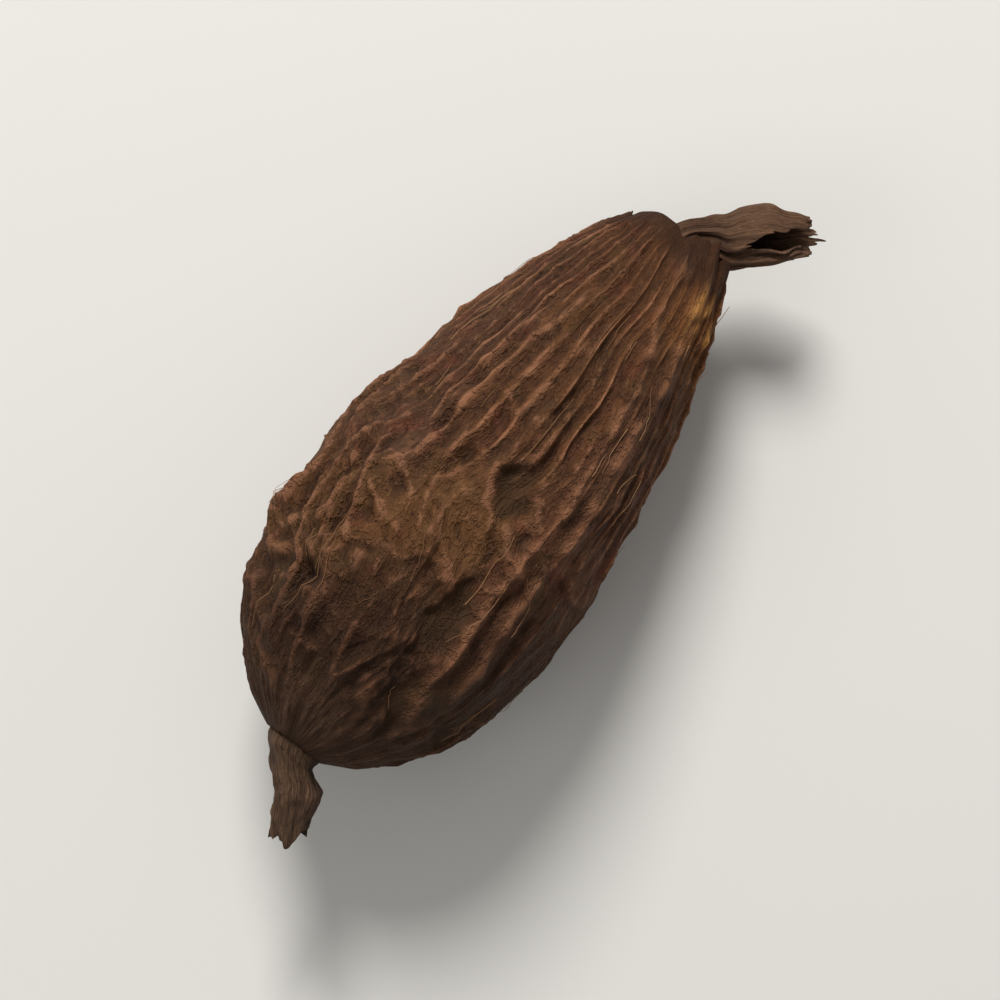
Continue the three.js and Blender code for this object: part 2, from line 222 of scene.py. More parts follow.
def net_rise(share, around):
    along = share * HUSK_LENGTH
    lengthwise = np.abs(billow(along / 6.5, 20 * around, 20, 3))
    slanting = np.abs(billow(along / 3.6, 13 * around + 0.15 * along, 13, 4))
    crease = np.maximum(np.exp(-lengthwise / 0.09), 0.6 * np.exp(-slanting / 0.07))
    hollow = np.minimum(lengthwise, slanting + 0.1) / 0.3
    fading = ease(-0.25, 0.2, billow(along / 4, 7 * around, 7, 6))
    return crumpled(share) * (CREASE_RISE * fading * crease - HOLLOW_DEPTH * hollow)


def dent_rise(along, across):
    rise = 0
    for middle_x, middle_y, length, width, depth in DENTS:
        away = ((along - middle_x) / length) ** 2 + ((across - middle_y) / width) ** 2
        rise = rise - depth * np.exp(-(away**2.1))
    return rise


def line_distance(points, along, across):
    nearest = np.inf
    for (x0, y0), (x1, y1) in zip(points, points[1:]):
        run = (along - x0) * (x1 - x0) + (across - y0) * (y1 - y0)
        run = np.clip(run / ((x1 - x0) ** 2 + (y1 - y0) ** 2), 0, 1)
        away = np.hypot(along - x0 - run * (x1 - x0), across - y0 - run * (y1 - y0))
        nearest = np.minimum(nearest, away)
    return nearest


def fold_rise(folds, along, across):
    """Each fold is sharp on its line and hollow-sided beside it, and dies away towards its ends."""
    rise = 0
    for fold, (height, reach, points) in enumerate(folds):
        nearest = line_distance(points, along, across)
        ends = [np.hypot(along - x0, across - y0) for x0, y0 in (points[0], points[-1])]
        uneven = 0.74 + 0.26 * drift(fold, 0.9 * along + 0.5 * across)
        fade = ease(0, FOLD_FADE, np.minimum(*ends)) * uneven
        rise = np.maximum(rise, height * fade * np.exp(-((nearest / reach) ** 0.85)))
    return rise


def ridges(along, around, length, count, seed, width):
    """Sharp lengthwise wrinkles where scattered slopes change sign: 1 on a crest, 0 away from it."""
    return np.exp(-np.abs(billow(along / length, count * around, count, seed)) / width)


def leaned(x, y, z):
    """From the pod's own axes to where it lies, with its weight over the origin."""
    away = x - BALANCE * HUSK_LENGTH
    lift = HUSK_HEIGHT / 2 - PRESSED_FLAT
    row_x = away * math.cos(LEAN) + z * math.sin(LEAN)
    row_z = lift - away * math.sin(LEAN) + z * math.cos(LEAN)
    return np.stack(np.broadcast_arrays(row_x, y, row_z), axis=-1)


# The skin is laid out in rings from the broad end. Their columns follow the ribs and crowd at the crests.
BODY_RINGS = 246
RIB_STEPS = 16
RIB_CROWDING = 0.09
GRAIN_RADIUS = 5
even = np.linspace(0, 1, BODY_RINGS)[:, None]
share = 0.5 * even + 0.25 * (1 - np.cos(math.pi * even))
step = np.arange(RIB_STEPS) / RIB_STEPS
step = step - RIB_CROWDING * np.sin(TURN * step)
place = (np.arange(RIBS)[:, None] + step).reshape(1, -1)
rib = np.floor(place)
between = place - rib
low = rib_angle(rib, share)
angle = low + (rib_angle(rib + 1, share) - low) * between
around = place / RIBS
across = swell(share) * HUSK_WIDTH / 2 * np.cos(angle)
upper = ease(0.1, 0.4, np.sin(angle))
grain_x = share * HUSK_LENGTH + 0 * place
grain_y = GRAIN_RADIUS * np.cos(TURN * around) + 0 * share
grain_z = GRAIN_RADIUS * np.sin(TURN * around) + 0 * share


def skin_noise(lengthwise, crosswise, seed):
    return noise(lengthwise * grain_x, crosswise * grain_y, crosswise * grain_z, seed)


def crest(distance):
    return np.exp(-((np.abs(distance) / RIB_SHARP) ** 1.1))


def torn(rib):
    return 0.85 + 0.3 * noise(0.9 * grain_x, 7 * (rib % RIBS), 0 * share, 11)


# Ribs, and the fine ribs between them on the narrow half.
sway = 0.06 * skin_noise(0.7, 1.5, 12)
ribs = rib_rise(rib, share) * torn(rib) * crest(between + sway)
ribs = ribs + rib_rise(rib + 1, share) * torn(rib + 1) * crest(1 - between - sway)
fibrous = ease(0.4, 0.56, share) * (1 - ease(0.93, 1, share))
fibrous = fibrous * (1 - 0.5 * upper * ease(3, 4.5, across))
fine_place = FINE_RIBS * around + 0.35 * billow(grain_x / 6, 14 * around, 14, 16)
fine_rib = np.round(fine_place)
fine_strength = 0.6 + 0.4 * noise(0.8 * grain_x, 7.3 * (fine_rib % FINE_RIBS), 0 * share, 17)
fine_crest = np.exp(-((np.abs(fine_place - fine_rib) / FINE_RIB_SHARP) ** 1.3))
fine_line = fibrous * (1.4 * fine_strength * fine_crest - 0.4)

# Wrinkles, deepest where the skin is loose, and the knobs on one side of the broad half.
flow = around + 0.012 * billow(grain_x / 3.1, 17 * around, 17, 8)
loose = 0.35 + 0.65 * (1 - ease(0.45, 0.7, share)) + 0.2 * (1 - ease(0.04, 0.16, share))
knobbly = upper * ease(1.2, 2.6, across) * ease(0.1, 0.18, share) * (1 - ease(0.35, 0.45, share))
wrinkle = FINE_RIB_RISE * fine_line - SKIN_SINK
wrinkle = wrinkle + LONG_WRINKLE * loose * ridges(grain_x, flow, 2.6, 44, 9, 0.11)
wrinkle = wrinkle + SHORT_WRINKLE * loose * ridges(grain_x, flow, 1.1, 70, 10, 0.14)
wrinkle = wrinkle + HAIR_WRINKLE * ridges(grain_x, around, 5, 96, 18, 0.16)
wrinkle = wrinkle + SLANT_WRINKLE * ridges(grain_x, flow + 0.02 * grain_x, 1.7, 24, 27, 0.13)
wrinkle = wrinkle + SWELLING_RISE * skin_noise(1.2, 1.3, 28)
wrinkle = wrinkle + KNOB_RISE * knobbly * skin_noise(1.5, 1.7, 29)

# Dents, folds and plateau, on places that wander a little so that no edge is drawn with a ruler.
warped_x = grain_x + 0.3 * drift(1, 0.9 * across + 0.35 * grain_x) + 0.3 * skin_noise(0.9, 0.9, 13)
warped_y = across + 0.22 * drift(2, 1.1 * grain_x + 0.3 * across) + 0.2 * skin_noise(0.8, 0.8, 14)
straight_y = across + 0.12 * drift(4, 0.5 * grain_x)
dented = upper * dent_rise(warped_x, warped_y)
sunk = np.clip(-dented / DENT_FULL, 0, 1)
ragged = 0.6 * skin_noise(0.5, 0.7, 19) + 0.5 * skin_noise(1.3, 1.6, 20)
past = warped_x + ragged - np.interp(warped_y, PLATEAU_ACROSS, PLATEAU_ALONG)
plateau_rise = PLATEAU_RISE * ease(-0.25, 0.25, past) * (1 - ease(1, 6, past))
folds = 0
fold_line = 0
for some, line_reach, at_x, at_y in (
    (LONG_FOLDS, FOLD_LINE, grain_x, straight_y),
    (SHORT_FOLDS, FOLD_LINE, warped_x, warped_y),
    (STRAIGHT_FOLDS, THIN_LINE, grain_x, straight_y),
):
    pale_lines = [(1, line_reach, points) for _, _, points in some]
    folds = np.maximum(folds, fold_rise(some, at_x, at_y))
    fold_line = np.maximum(fold_line, fold_rise(pale_lines, at_x, at_y))

# Ribs and wrinkles are calmer beside the long folds, on the shaded side and in the dents.
long_away = np.minimum(*(line_distance(points, grain_x, straight_y) for _, _, points in LONG_FOLDS))
calm = 1 - 0.75 * upper * np.exp(-((long_away / 0.75) ** 2))
calm = calm * (1 - 0.5 * ease(-4.2, -5.2, across))
calm = calm * (1 - 0.8 * sunk)
skin = calm * ((1 - 0.55 * knobbly) * ribs + net_rise(share, around)) + dented
skin = skin + upper * (folds + plateau_rise)
skin = skin + calm * wrinkle * ease(0, 0.03, share) * (1 - ease(0.96, 1, share))
lumps = 1 + CORNER_RISE * np.cos(CORNERS * angle) + LUMP_RISE * drift(3, 6 * share + np.sin(angle))
y = (HUSK_WIDTH / 2 * swell(share) * lumps + skin) * np.cos(angle)
z = (HUSK_HEIGHT / 2 * swell(share) * lumps + skin) * np.sin(angle)
end = ease(0.88, 1, share)
x = share * HUSK_LENGTH - END_SLANT * end * np.cos(angle)
x = x + END_RAGGED * end * drift(5, 2.5 * np.cos(angle) + 4 * np.sin(angle))


def socket_rings(edge, turn, floor, radius):
    """Rings from the middle of a socket's floor out to its edge."""
    rings = []
    for row in np.linspace(0, 1, SOCKET_RINGS + 1)[:-1]:
        wide = radius * min(2 * row, 1)
        flat = np.stack([0 * turn + floor, wide * np.cos(turn), wide * np.sin(turn)], axis=-1)
        rings.append(flat + (edge - flat) * max(2 * row - 1, 0) ** 1.5)
    return rings


own = np.stack([x, y, z], axis=-1)
first = socket_rings(own[0], angle[0], STALK_SOCKET[1], STALK_SOCKET[0])
last = socket_rings(own[-1], angle[-1], HUSK_LENGTH - CALYX_SOCKET[1], CALYX_SOCKET[0])
own = np.concatenate([first, own, last[::-1]])
husk_points = leaned(own[..., 0], own[..., 1], own[..., 2])
husk_points[..., 2] = np.maximum(husk_points[..., 2], 0)


def with_sockets(field):
    return np.pad(field, ((SOCKET_RINGS, SOCKET_RINGS),) + ((0, 0),) * (field.ndim - 1), "edge")


def softened(field, passes):
    """The field averaged with its neighbours, all round and along."""
    for _ in range(passes):
        field = (np.roll(field, 1, 1) + np.roll(field, -1, 1) + 2 * field) / 4
        edged = np.concatenate([field[:1], field, field[-1:]])
        field = (edged[:-2] + edged[2:] + 2 * field) / 4
    return field


def lathe_piece(name, points, fields):
    """A closed piece from rings of points, the first and last each in one spot, with named values."""
    rings, sides = points.shape[:2]
    ring, side = np.meshgrid(np.arange(rings - 1), np.arange(sides), indexing="ij")
    after = (side + 1) % sides
    here = ring * sides
    there = here + sides
    corners = [here + side, here + after, there + after, there + side]
    faces = np.stack(corners, axis=-1).reshape(-1, 4)
    u = np.stack([side, side + 1, side + 1, side], axis=-1) / sides
    v = np.stack([ring, ring, ring + 1, ring + 1], axis=-1) / (rings - 1)
    mesh = bpy.data.meshes.new(name)
    mesh.from_pydata((points.reshape(-1, 3) * MM).tolist(), [], faces.tolist())
    layer = mesh.uv_layers.new(name="OFBake")
    layer.data.foreach_set("uv", np.stack([u, v], axis=-1).reshape(-1))
    for key, value in fields.items():
        kind, part = ("FLOAT_VECTOR", "vector") if value.ndim == 3 else ("FLOAT", "value")
        attribute = mesh.attributes.new(key, kind, "POINT")
        attribute.data.foreach_set(part, value.astype(np.float32).reshape(-1))
    mesh.shade_smooth()
    piece = bpy.data.objects.new(name, mesh)
    bpy.context.collection.objects.link(piece)
    return piece


# Where the husk's colours lie: the golden patch, a golden tone with a painted highlight on it, and the
# side by the narrow end,
# # darkened as painted shade, the tan plateau, the rosy far side, the ruddy near side, and the pale lines
# of the folds
# # and the plateau's edge, pale partly from worn fibre and partly as a painted highlight.
golden = upper * ease(0.76, 0.87, share) * ease(-0.2, -2.5, across)
tip_shade_side = upper * ease(0.86, 0.94, share) * ease(0.3, -1.5, across)
plateau = upper * ease(-0.1, 0.7, past) * (1 - ease(1.5, 4.5, past))
plateau = plateau * ease(-2.4, -1.2, across) * (1 - ease(2, 3.6, across))
rosy = upper * ease(0.32, 0.48, share) * ease(1.2, 3.4, across)
ruddy = upper * ease(-1.4, -3, across) * ease(0.15, 0.3, share) * (1 - ease(0.62, 0.8, share))
plateau_line = 0.65 * np.exp(-(((past - 0.15) / 0.3) ** 2)) * ease(-3, -2.2, across)
husk_fields = {
    "crest": with_sockets(np.clip((skin - softened(skin, 60)) / 0.35, -1, 1)),
    "edge": with_sockets(np.clip((skin - softened(skin, 5)) / 0.06, -1, 1)),
    "along": with_sockets(share + 0.03 * tip_shade_side),
    "sunken": with_sockets((1 - ease(-4.2, 2.2, past)) * (0.4 + 0.6 * calm)),
    "golden": with_sockets(golden),
    "plateau": with_sockets(plateau),
    "rosy": with_sockets(rosy),
    "ruddy": with_sockets(ruddy),
    "fold": with_sockets(upper * np.maximum(fold_line, plateau_line)),
    "dent": with_sockets(sunk),
    "line": with_sockets(fine_line),
    "grain": with_sockets(np.stack([grain_x, grain_y, grain_z], axis=-1)),
}
husk = lathe_piece("husk_skin", husk_points, husk_fields)


def tone(red, green, blue):
    """A colour given in screen values from 0 to 255."""
    return [((c / 255 + 0.055) / 1.055) ** 2.4 for c in (red, green, blue)] + [1]


def node(tree, kind, inputs=None, **settings):
    """Adds a node with its settings, and fills its sockets with values or links."""
    made = tree.nodes.new("ShaderNode" + kind)
    for key, value in settings.items():
        setattr(made, key, value)
    for key, value in (inputs or {}).items():
        if isinstance(value, bpy.types.NodeSocket):
            tree.links.new(value, made.inputs[key])
        else:
            made.inputs[key].default_value = value
    return made.outputs


def mixed(tree, factor, under, over, mode="MIX"):
    return node(tree, "Mix", {0: factor, 6: under, 7: over}, data_type="RGBA", blend_type=mode)[2]


def product(tree, one, other):
    return node(tree, "Math", {0: one, 1: other}, operation="MULTIPLY")[0]


def from_middle(tree, value):
    """How far a noise lies from its middle value."""
    apart = node(tree, "Math", {0: value, 1: 0.5}, operation="SUBTRACT")[0]
    return node(tree, "Math", {0: apart}, operation="ABSOLUTE")[0]


def ranged(tree, value, from_low, from_high, to_low, to_high):
    inputs = {0: value, 1: from_low, 2: from_high, 3: to_low, 4: to_high}
    return node(tree, "MapRange", inputs, interpolation_type="SMOOTHSTEP")[0]


def layered(tree, under, layers):
    """Tones laid on each other by masks: where a mask starts and is full, how strong, and the tone."""
    for mask, start, full, strength, shade in layers:
        under = mixed(tree, ranged(tree, mask, start, full, 0, strength), under, tone(*shade))
    return under


def stretched_noise(tree, place, scale, detail, roughness):
    scaled = node(tree, "VectorMath", {0: place, 1: scale}, operation="MULTIPLY")[0]
    inputs = {"Vector": scaled, "Scale": 1.0, "Detail": detail, "Roughness": roughness}
    return node(tree, "TexNoise", inputs)[0]


# Dry plant fibre, shared by the husk, the stalk and the calyx: broad lengthwise streaks, fine hairs,
# grit, and the height that they give the surface. Place is in millimetres, with x along the fibres.
fibre = bpy.data.node_groups.new("dry_fibre", "ShaderNodeTree")
fibre.interface.new_socket("Place", in_out="INPUT", socket_type="NodeSocketVector")
for name in ("Streaks", "Hairs", "Grit", "Height"):
    fibre.interface.new_socket(name, in_out="OUTPUT", socket_type="NodeSocketFloat")
place_in = fibre.nodes.new("NodeGroupInput").outputs["Place"]
fibre_out = fibre.nodes.new("NodeGroupOutput").inputs
streaks = stretched_noise(fibre, place_in, (0.3, 3.6, 3.6), 5, 0.62)
hairs = from_middle(fibre, stretched_noise(fibre, place_in, (0.8, 11, 11), 4, 0.6))
hairs = ranged(fibre, hairs, 0.0, 0.16, 1, 0)
grit = stretched_noise(fibre, place_in, (5, 6, 6), 4, 0.65)
raised = node(fibre, "Math", {0: hairs, 1: 0.5, 2: streaks}, operation="MULTIPLY_ADD")[0]
raised = node(fibre, "Math", {0: grit, 1: 0.9, 2: raised}, operation="MULTIPLY_ADD")[0]
for name, value in (("Streaks", streaks), ("Hairs", hairs), ("Grit", grit), ("Height", raised)):
    fibre.links.new(value, fibre_out[name])


def fibre_lines(tree, place):
    made = tree.nodes.new("ShaderNodeGroup")
    made.node_tree = fibre
    tree.links.new(place, made.inputs["Place"])
    return made.outputs


def plain_material(name):
    material = bpy.data.materials.new(name)
    material.use_nodes = True
    tree = material.node_tree
    return material, tree, tree.nodes["Principled BSDF"]


def grain_place(tree):
    return node(tree, "Attribute", attribute_name="grain")["Vector"]


def value_on(tree, name):
    return node(tree, "Attribute", attribute_name=name)["Fac"]


def bumped(tree, surface, height, strength, distance):
    bump = node(tree, "Bump", {"Strength": strength, "Distance": distance, "Height": height})[0]
    tree.links.new(bump, surface.inputs["Normal"])


material, tree, surface = plain_material("husk_dry")
grain_on = grain_place(tree)
along_on = value_on(tree, "along")
crest_on = value_on(tree, "crest")
edge_on = value_on(tree, "edge")
fold_on = value_on(tree, "fold")
golden_highlight_on = value_on(tree, "golden")
line_on = value_on(tree, "line")
sunken_tone_and_shade_on = value_on(tree, "sunken")
lines = fibre_lines(tree, grain_on)
patches = stretched_noise(tree, grain_on, (0.3, 0.45, 0.45), 3, 0.55)
blotches = stretched_noise(tree, grain_on, (0.7, 0.9, 0.9), 4, 0.6)
mottles = stretched_noise(tree, grain_on, (1.1, 1.5, 1.5), 5, 0.66)
crinkles = from_middle(tree, stretched_noise(tree, grain_on, (1.3, 2.6, 2.6), 4, 0.6))
crinkles = ranged(tree, crinkles, 0, 0.07, 1, 0)

# The ground turns from olive to tan along the pod. Patches, mottles, hollows and crests lie on it.
# # Crests are paler, partly worn fibre and partly painted highlight. Hollows, creases and the gaps between
# fine ribs are darker as painted shade.
spot = ranged(tree, patches, 0.3, 0.7, -0.16, 0.16)
spot = node(tree, "Math", {0: along_on, 1: spot}, operation="ADD")[0]
body = mixed(tree, ranged(tree, spot, 0.45, 0.8, 0, 1), tone(100, 68, 37), tone(120, 76, 43))
ground_layers = (
    (value_on(tree, "rosy"), 0, 1, 0.75, (84, 56, 42)),
    (value_on(tree, "ruddy"), 0, 1, 0.65, (106, 63, 46)),
    (blotches, 0.52, 0.66, 0.6, (120, 62, 44)),
    (blotches, 0.48, 0.34, 0.6, (98, 76, 42)),
    (mottles, 0.48, 0.36, 0.7, (66, 42, 26)),
    (mottles, 0.53, 0.65, 0.5, (142, 96, 64)),
    # A golden tone with a painted highlight on it.
    (golden_highlight_on, 0, 1, 0.65, (164, 102, 46)),
    (value_on(tree, "plateau"), 0, 1, 0.5, (142, 97, 58)),
    # The sunken broad end is darker: a greyer tone of its own and painted shade.
    (sunken_tone_and_shade_on, 0, 1, 0.7, (57, 39, 27)),
    (lines["Streaks"], 0.36, 0.64, 0.4, (66, 38, 21)),
    # Painted highlight and shade: crests paler, partly from worn fibre, and hollows, creases and gaps
    # between fine ribs darker.
    (crest_on, 0.1, 1, 0.4, (148, 99, 69)),
    (crest_on, -0.1, -1, 0.5, (52, 29, 15)),
    (edge_on, -0.25, -1, 0.5, (40, 21, 10)),
    (line_on, 0.1, 0.7, 0.75, (184, 128, 90)),
    (line_on, -0.1, -0.4, 0.45, (70, 44, 30)),
)
body = layered(tree, body, ground_layers)

# Worn edges and fold lines are pale, partly from worn fibre and partly as a painted highlight, broken up
# by grit and mottles.
pale = ranged(tree, lines["Grit"], 0.35, 0.6, 0.15, 0.6)
pale = product(tree, ranged(tree, edge_on, 0.2, 1, 0, 1), pale)
body = mixed(tree, pale, body, tone(174, 122, 92))
broken = ranged(tree, mottles, 0.38, 0.6, 0.2, 0.7)
broken = product(tree, ranged(tree, fold_on, 0.4, 0.8, 0, 1), broken)
body = mixed(tree, broken, body, tone(178, 124, 90))
fine_layers = (
    (lines["Hairs"], 0.5, 1, 0.1, (150, 104, 77)),
    (crinkles, 0.3, 1, 0.16, (158, 110, 78)),
    # The dents' floors are olive and darker, the darkening a painted shade.
    (value_on(tree, "dent"), 0.3, 1, 0.65, (74, 54, 33)),
)
body = layered(tree, body, fine_layers)
# Painted highlight: bright golden lines on the fold crests within the golden patch.
golden_highlight_streak = ranged(tree, golden_highlight_on, 0.55, 1, 0, 1)
golden_highlight_streak = product(tree, ranged(tree, fold_on, 0.4, 0.85, 0, 0.8), golden_highlight_streak)
body = mixed(tree, golden_highlight_streak, body, tone(230, 164, 86))

# Dirt lies in the pores. The narrow end is darkened as painted shade, reaching further on one side.
# # The sunken broad end is dim, partly from a greyer tone of its own and partly as painted shade, with
# pale fibres to the stalk.
dirt_and_shade_layers = (
    # Painted shade at the narrow end.
    (along_on, 0.925, 0.985, 0.75, (60, 35, 22)),
    # The sunken broad end is flattened towards one dim tone, part of its painted shade.
    (sunken_tone_and_shade_on, 0, 1, 0.3, (76, 51, 36)),
    (lines["Grit"], 0.42, 0.3, 0.7, (38, 20, 8)),
    (lines["Grit"], 0.66, 0.76, 0.5, (160, 120, 92)),
)
body = layered(tree, body, dirt_and_shade_layers)
# Painted shade: the sunken broad end is dimmed as a whole.
painted_base_shade = mixed(tree, ranged(tree, sunken_tone_and_shade_on, 0, 1, 0, 1), tone(222, 219, 214), tone(186, 180, 172))
body = mixed(tree, 1.0, body, painted_base_shade, "MULTIPLY")
fan = ranged(tree, lines["Streaks"], 0.6, 0.4, 0.15, 0.65)
fan = product(tree, ranged(tree, along_on, 0.15, 0.02, 0, 1), fan)
body = mixed(tree, fan, body, tone(92, 67, 49))
tree.links.new(body, surface.inputs["Base Color"])
tree.links.new(ranged(tree, lines["Streaks"], 0.3, 0.7, 0.58, 0.85), surface.inputs["Roughness"])
surface.inputs["Specular IOR Level"].default_value = 0.16
height = node(tree, "Math", {0: lines["Height"], 1: 0.5, 2: crinkles}, operation="MULTIPLY_ADD")[0]
bumped(tree, surface, height, strength=0.65, distance=0.18 * MM)
husk.data.materials.append(material)
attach(husk, "root")
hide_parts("husk")

# The stalk is what is left of the stem that the fruit grew on: a short woody stub, snapped off.
# Its fibres run lengthwise. It is thickest at a collar by the husk.
# Its broken tip is ragged and a little hollow.
STALK_LENGTH = 3.3
STALK_SWING = math.radians(30)
STALK_RADIUS = 0.92
COLLAR_AT = 0.19
COLLAR_RISE = 0.3
TIP_NARROWING = 0.22
TIP_HOLLOW = 0.3
GROOVE_DEPTH = 0.1
STALK_RINGS = 90
TIP_RINGS = 6
STALK_SIDES = 140
run = np.concatenate([[0], np.linspace(0, 1, STALK_RINGS), np.ones(TIP_RINGS)])[:, None]
inward = np.concatenate([[0], np.ones(STALK_RINGS), np.linspace(0.9, 0, TIP_RINGS)])[:, None]
turn = -np.linspace(0, TURN, STALK_SIDES, endpoint=False)[None, :]
ring_y, ring_z = np.cos(turn), np.sin(turn)
out = (STALK_LENGTH + STALK_SOCKET[1]) * run


def stalk_noise(lengthwise, crosswise, seed):
    places = np.broadcast_arrays(lengthwise * out, crosswise * ring_y, crosswise * ring_z)
    return noise(*places, seed)


grooves = GROOVE_DEPTH * (np.abs(stalk_noise(0.5, 3.4, 21)) - 0.5)
knobs = 0.15 * stalk_noise(0.8, 0.9, 22) + 0.1 * stalk_noise(1.9, 1.8, 24)
knobs = knobs + 0.07 * stalk_noise(4, 3.5, 26)
taper = COLLAR_RISE * np.exp(-(((run - COLLAR_AT) / 0.1) ** 2)) - TIP_NARROWING * ease(0.55, 1, run)
stalk_radius = STALK_RADIUS * (1.04 + grooves + knobs * ease(0.1, 0.3, run) + taper) * inward
frayed = 0.35 * np.cos(turn - 0.8) + 0.3 * stalk_noise(0, 1.6, 23) + 0.25 * stalk_noise(0, 4.2, 25)
frayed = frayed * ease(0.75, 1, run) * inward - TIP_HOLLOW * (1 - inward) * ease(0.5, 1, run)
swung = STALK_SWING * ease(0.05, 0.6, run)
sideways = stalk_radius * ring_y
reach = out + frayed
stalk_x = STALK_SOCKET[1] - reach * np.cos(swung) - sideways * np.sin(swung)
stalk_y = -reach * np.sin(swung) + sideways * np.cos(swung)
stalk_points = leaned(stalk_x, stalk_y, stalk_radius * ring_z)
stalk_fields = {
    "grain": np.stack(np.broadcast_arrays(out, 1.6 * ring_y * inward, 1.6 * ring_z * inward), axis=-1),
    "groove": np.clip((grooves + 0.5 * knobs) / 0.08, -1, 1),
}
stalk = lathe_piece("stalk_stub", stalk_points, stalk_fields)
material, tree, surface = plain_material("stalk_wood")
lines = fibre_lines(tree, grain_place(tree))
wood = ranged(tree, lines["Streaks"], 0.35, 0.65, 0, 1)
wood = mixed(tree, wood, tone(112, 83, 60), tone(76, 54, 39))
wood_layers = (
    # Painted shade: the grooves and the hollows between the knobs are darker.
    (value_on(tree, "groove"), 0, -1, 0.6, (44, 30, 21)),
    (lines["Hairs"], 0.4, 1, 0.4, (138, 104, 77)),
    (lines["Grit"], 0.42, 0.3, 0.6, (42, 28, 20)),
)
wood = layered(tree, wood, wood_layers)
tree.links.new(wood, surface.inputs["Base Color"])
surface.inputs["Roughness"].default_value = 0.85
surface.inputs["Specular IOR Level"].default_value = 0.25
bumped(tree, surface, lines["Height"], strength=0.9, distance=0.25 * MM)
stalk.data.materials.append(material)
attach(stalk, "root")
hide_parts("stalk")

# The calyx is the dried foot of the flower: a papery tube, shrivelled to a neck by the husk.
# It bends aside and widens to a torn mouth, split open on top over a hollow whose inside is painted dark
# as shade.
# Its thin wall is pleated and veined lengthwise.
CALYX_WALL = 0.14
CALYX_FOOT = 1.5
CALYX_NECK = 0.55
CALYX_FLARE = 0.58
MOUTH_NARROWING = 0.45
CALYX_REACH = 6.0
CALYX_FLOOR = 2.5
CALYX_BEND = math.radians(56)
BEND_FROM = 0.8
BEND_TO = 2.0
MOUTH_LIFT = 0.5
THINNEST = 0.05
# Angle, half-width in radians and rise of each lobe of the torn mouth.
CALYX_LOBES = ((112, 0.45, -2.6), (15, 0.6, 0.4), (-85, 0.6, 0.5), (190, 0.4, -0.2))
# Size, count to a unit and seed of the tears along its edge.
CALYX_TEARS = ((0.35, 3, 31), (0.45, 7, 32), (0.2, 17, 35))
CALYX_ROWS = 64
MOUTH_ROWS = 32
CALYX_SIDES = 280
turn = np.linspace(0, TURN, CALYX_SIDES, endpoint=False)[None, :]
ring_y, ring_z = np.cos(turn), np.sin(turn)
torn_edge = CALYX_REACH
for tear, count, seed in CALYX_TEARS:
    torn_edge = torn_edge + tear * noise(0 * turn, count * ring_y, count * ring_z, seed)
for at, half_width, lobe_rise in CALYX_LOBES:
    away = np.angle(np.exp(1j * (turn - math.radians(at))))
    torn_edge = torn_edge + lobe_rise * np.exp(-(np.abs(away / half_width) ** 2.4))
outer_run = np.linspace(0, 1, CALYX_ROWS)[:, None] * torn_edge
inner_run = CALYX_FLOOR + np.linspace(1, 0, MOUTH_ROWS)[:, None] * (torn_edge - CALYX_FLOOR)
run = np.concatenate([outer_run[:1], outer_run, inner_run, inner_run[-1:]])
inner = np.concatenate([np.zeros(CALYX_ROWS + 1), np.ones(MOUTH_ROWS + 1)])[:, None]
open_ring = np.concatenate([[0], np.ones(CALYX_ROWS + MOUTH_ROWS), [0]])[:, None]


def calyx_noise(lengthwise, crosswise, seed):
    return noise(*np.broadcast_arrays(lengthwise * run, crosswise * ring_y, crosswise * ring_z), seed)


pleats = 0.14 * calyx_noise(0.5, 2.6, 33) + 0.1 * calyx_noise(1.7, 1.6, 36)
pleats = (pleats + 0.14 - 0.3 * np.abs(calyx_noise(0.4, 3.7, 37))) * ease(0.3, 1.2, run)
veins = 0.05 * np.abs(calyx_noise(0.35, 8, 34))
foot = (CALYX_FOOT - CALYX_NECK) * np.exp(-((run / 0.8) ** 2))
flare = CALYX_FLARE * ease(1.8, 3.6, run) - MOUTH_NARROWING * ease(4.4, 6.4, run)
relief = pleats + veins - CALYX_WALL * inner
half_width = np.maximum(CALYX_NECK + foot + flare + relief, THINNEST) * open_ring
half_height = np.maximum(0.9 * CALYX_NECK + foot + 0.5 * flare + relief, THINNEST) * open_ring
turned = CALYX_BEND * np.clip((run - BEND_FROM) / (BEND_TO - BEND_FROM), 0, 1)
bend_radius = (BEND_TO - BEND_FROM) / CALYX_BEND
straight_on = np.maximum(run - BEND_TO, 0)
spine_x = np.minimum(run, BEND_FROM) + bend_radius * np.sin(turned) + straight_on * np.cos(turned)
spine_y = -bend_radius * (1 - np.cos(turned)) - straight_on * np.sin(turned)
sideways = half_width * ring_y + 0.15 * drift(6, 0.8 * run) * ease(1.5, 3, run)
calyx_x = HUSK_LENGTH - CALYX_SOCKET[1] + spine_x + sideways * np.sin(turned)
calyx_y = spine_y + sideways * np.cos(turned)
calyx_z = half_height * ring_z + MOUTH_LIFT * ease(2.5, 6, run)
calyx_z = calyx_z - MOUTH_LIFT * np.minimum(ring_z, 0) * ease(4.8, 6.4, run)
calyx_points = leaned(calyx_x, calyx_y, calyx_z)
calyx_fields = {
    "grain": np.stack(np.broadcast_arrays(run, 2 * ring_y, 2 * ring_z), axis=-1),
    "inside_shade": inner * (1 - ease(3.2, 5.8, run)),
    "pleat": np.clip(pleats / 0.16 + veins / 0.06 - 0.3, -1, 1),
}
calyx = lathe_piece("calyx_cup", calyx_points, calyx_fields)
material, tree, surface = plain_material("calyx_papery")
lines = fibre_lines(tree, grain_place(tree))
pleat_on = value_on(tree, "pleat")
paper = ranged(tree, lines["Streaks"], 0.35, 0.65, 0, 1)
paper = mixed(tree, paper, tone(102, 72, 51), tone(70, 47, 33))
